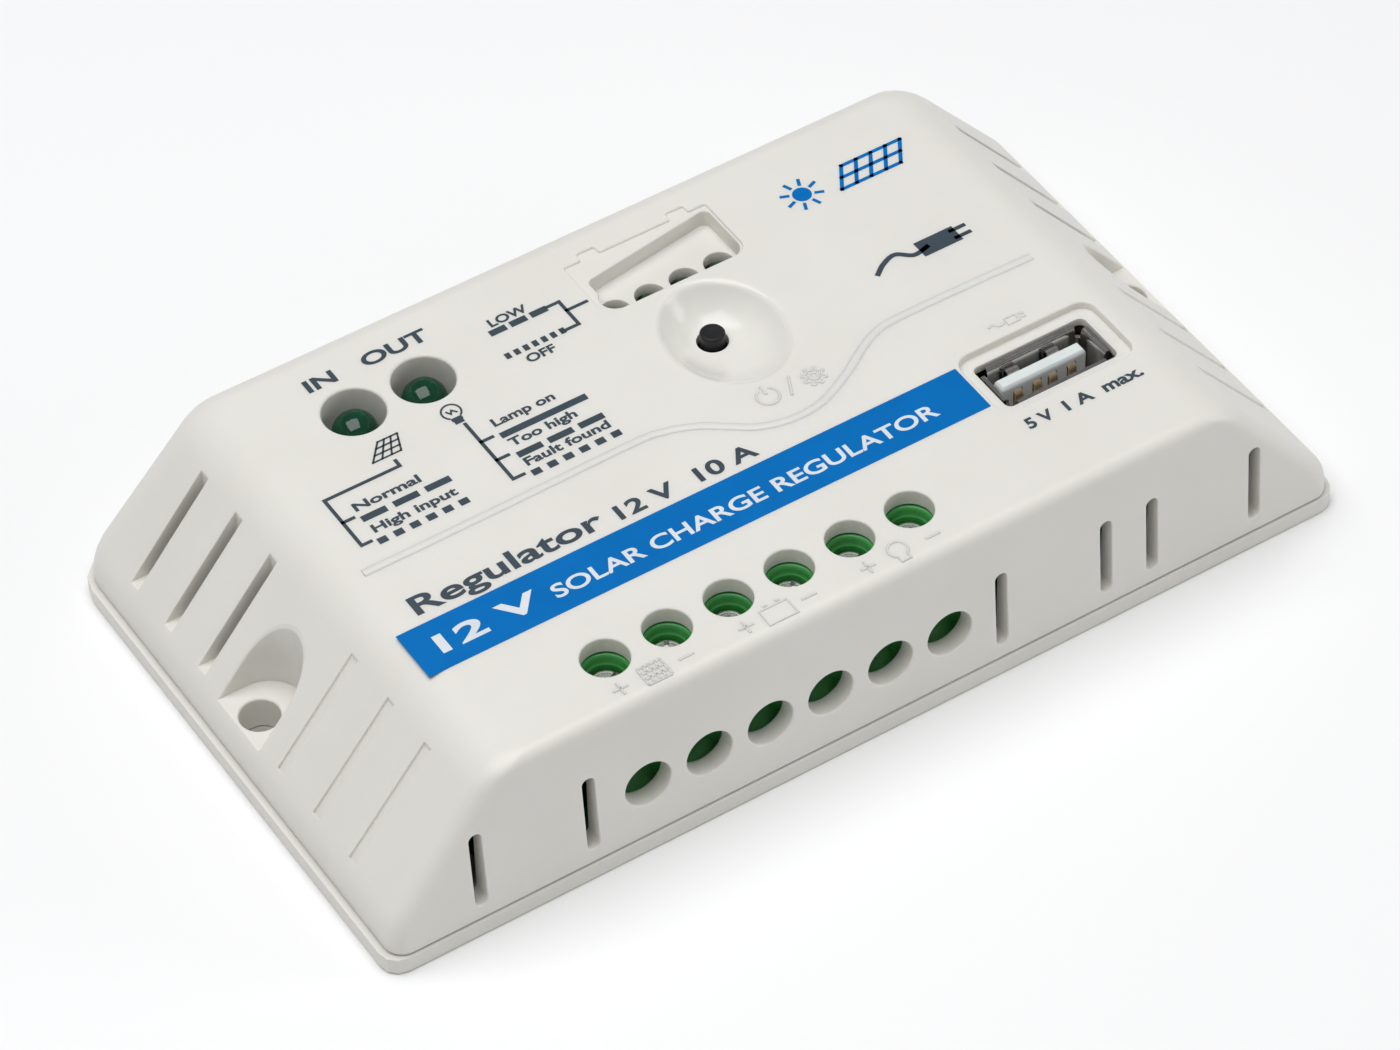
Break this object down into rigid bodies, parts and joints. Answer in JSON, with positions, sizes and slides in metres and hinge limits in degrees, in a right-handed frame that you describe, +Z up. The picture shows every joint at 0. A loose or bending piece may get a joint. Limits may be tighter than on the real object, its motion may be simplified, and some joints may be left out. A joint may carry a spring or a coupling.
{
  "type": "solar charge controller",
  "caption": "Slim moulded solar charge controller with a row of screw terminals, an upright USB socket, a push button in a dished recess, indicator lamps and screw ears at both ends.",
  "frame": {"origin": "centre of the flat underside of the bottom cover", "axes": "+X along the length towards the USB socket, +Y from the terminal side to the indicator side, +Z up out of the mounting surface"},
  "size_m": [0.1204, 0.067, 0.0218],
  "materials": {
    "housing": "fine matt moulded ABS, warm off-white",
    "housing_base": "moulded ABS, warm off-white",
    "board": "glass-epoxy board under green solder mask",
    "terminal_green": "moulded green polyamide",
    "plated_steel": "bright nickel-plated steel",
    "zinc": "zinc-plated steel",
    "tinned_copper": "tin-plated copper",
    "gold": "gold-plated phosphor bronze",
    "socket_white": "moulded off-white socket body",
    "led_green": "dark green tinted epoxy lens",
    "black_plastic": "black moulded plastic",
    "spacer_white": "natural nylon",
    "capacitor_sleeve": "dark blue shrink sleeve over an aluminium can",
    "ferrite": "dark grey ferrite",
    "manganin": "bare copper-manganese alloy"
  },
  "bodies": {
    "case": {"board_screw_1": "zinc", "board_screw_2": "zinc", "bottom_cover": "housing_base", "case_screw_1": "zinc", "case_screw_2": "zinc", "case_screw_3": "zinc", "case_screw_4": "zinc", "circuit_board": "board", "current_shunt": "manganin", "gauge_led_1": "led_green", "gauge_led_2": "led_green", "gauge_led_3": "led_green", "gauge_led_4": "led_green", "gauge_led_holder": "black_plastic", "input_capacitor": "capacitor_sleeve", "load_led": "led_green", "load_led_spacer": "spacer_white", "microcontroller": "black_plastic", "output_capacitor": "capacitor_sleeve", "power_transistor_1": "black_plastic", "power_transistor_2": "black_plastic", "power_transistor_3": "black_plastic", "pv_led": "led_green", "pv_led_spacer": "spacer_white", "schottky_diode": "black_plastic", "switch_base": "black_plastic", "switch_frame": "plated_steel", "terminal_block_battery": "terminal_green", "terminal_block_load": "terminal_green", "terminal_block_pv": "terminal_green", "terminal_contact_1": "tinned_copper", "terminal_contact_2": "tinned_copper", "terminal_contact_3": "tinned_copper", "terminal_contact_4": "tinned_copper", "terminal_contact_5": "tinned_copper", "terminal_contact_6": "tinned_copper", "top_cover": "housing", "usb_contact_1": "gold", "usb_contact_2": "gold", "usb_contact_3": "gold", "usb_contact_4": "gold", "usb_converter": "black_plastic", "usb_inductor": "ferrite", "usb_insulator": "socket_white", "usb_shell": "plated_steel"},
    "screw_1": {"terminal_screw_1": "plated_steel"},
    "cage_1": {"terminal_cage_1": "plated_steel"},
    "screw_2": {"terminal_screw_2": "plated_steel"},
    "cage_2": {"terminal_cage_2": "plated_steel"},
    "screw_3": {"terminal_screw_3": "plated_steel"},
    "cage_3": {"terminal_cage_3": "plated_steel"},
    "screw_4": {"terminal_screw_4": "plated_steel"},
    "cage_4": {"terminal_cage_4": "plated_steel"},
    "screw_5": {"terminal_screw_5": "plated_steel"},
    "cage_5": {"terminal_cage_5": "plated_steel"},
    "screw_6": {"terminal_screw_6": "plated_steel"},
    "cage_6": {"terminal_cage_6": "plated_steel"},
    "button": {"button": "black_plastic"}
  },
  "joints": [
    {"name": "terminal_screw_1_turn", "type": "hinge", "parent": "case", "child": "screw_1", "pos_m": [-0.02833, -0.02508, 0.0172], "axis": [0, 0, -1], "range_deg": [0, 1810]},
    {"name": "terminal_cage_1_rise", "type": "slide", "parent": "case", "child": "cage_1", "axis": [0, 0, 1], "range_m": [0, 0.0025]},
    {"name": "terminal_screw_2_turn", "type": "hinge", "parent": "case", "child": "screw_2", "pos_m": [-0.02083, -0.02508, 0.0172], "axis": [0, 0, -1], "range_deg": [0, 1810]},
    {"name": "terminal_cage_2_rise", "type": "slide", "parent": "case", "child": "cage_2", "axis": [0, 0, 1], "range_m": [0, 0.0025]},
    {"name": "terminal_screw_3_turn", "type": "hinge", "parent": "case", "child": "screw_3", "pos_m": [-0.01333, -0.02508, 0.0172], "axis": [0, 0, -1], "range_deg": [0, 1810]},
    {"name": "terminal_cage_3_rise", "type": "slide", "parent": "case", "child": "cage_3", "axis": [0, 0, 1], "range_m": [0, 0.0025]},
    {"name": "terminal_screw_4_turn", "type": "hinge", "parent": "case", "child": "screw_4", "pos_m": [-0.00583, -0.02508, 0.0172], "axis": [0, 0, -1], "range_deg": [0, 1810]},
    {"name": "terminal_cage_4_rise", "type": "slide", "parent": "case", "child": "cage_4", "axis": [0, 0, 1], "range_m": [0, 0.0025]},
    {"name": "terminal_screw_5_turn", "type": "hinge", "parent": "case", "child": "screw_5", "pos_m": [0.00167, -0.02508, 0.0172], "axis": [0, 0, -1], "range_deg": [0, 1810]},
    {"name": "terminal_cage_5_rise", "type": "slide", "parent": "case", "child": "cage_5", "axis": [0, 0, 1], "range_m": [0, 0.0025]},
    {"name": "terminal_screw_6_turn", "type": "hinge", "parent": "case", "child": "screw_6", "pos_m": [0.00917, -0.02508, 0.0172], "axis": [0, 0, -1], "range_deg": [0, 1810]},
    {"name": "terminal_cage_6_rise", "type": "slide", "parent": "case", "child": "cage_6", "axis": [0, 0, 1], "range_m": [0, 0.0025]},
    {"name": "button_press", "type": "slide", "parent": "case", "child": "button", "axis": [0, 0, -1], "range_m": [0, 0.00025], "stiffness_N_per_m": 4000}
  ],
  "couplings": [
    {"joint": "terminal_screw_1_turn", "follows": "terminal_cage_1_rise", "rad_per_m": 12566},
    {"joint": "terminal_screw_2_turn", "follows": "terminal_cage_2_rise", "rad_per_m": 12566},
    {"joint": "terminal_screw_3_turn", "follows": "terminal_cage_3_rise", "rad_per_m": 12566},
    {"joint": "terminal_screw_4_turn", "follows": "terminal_cage_4_rise", "rad_per_m": 12566},
    {"joint": "terminal_screw_5_turn", "follows": "terminal_cage_5_rise", "rad_per_m": 12566},
    {"joint": "terminal_screw_6_turn", "follows": "terminal_cage_6_rise", "rad_per_m": 12566}
  ]
}
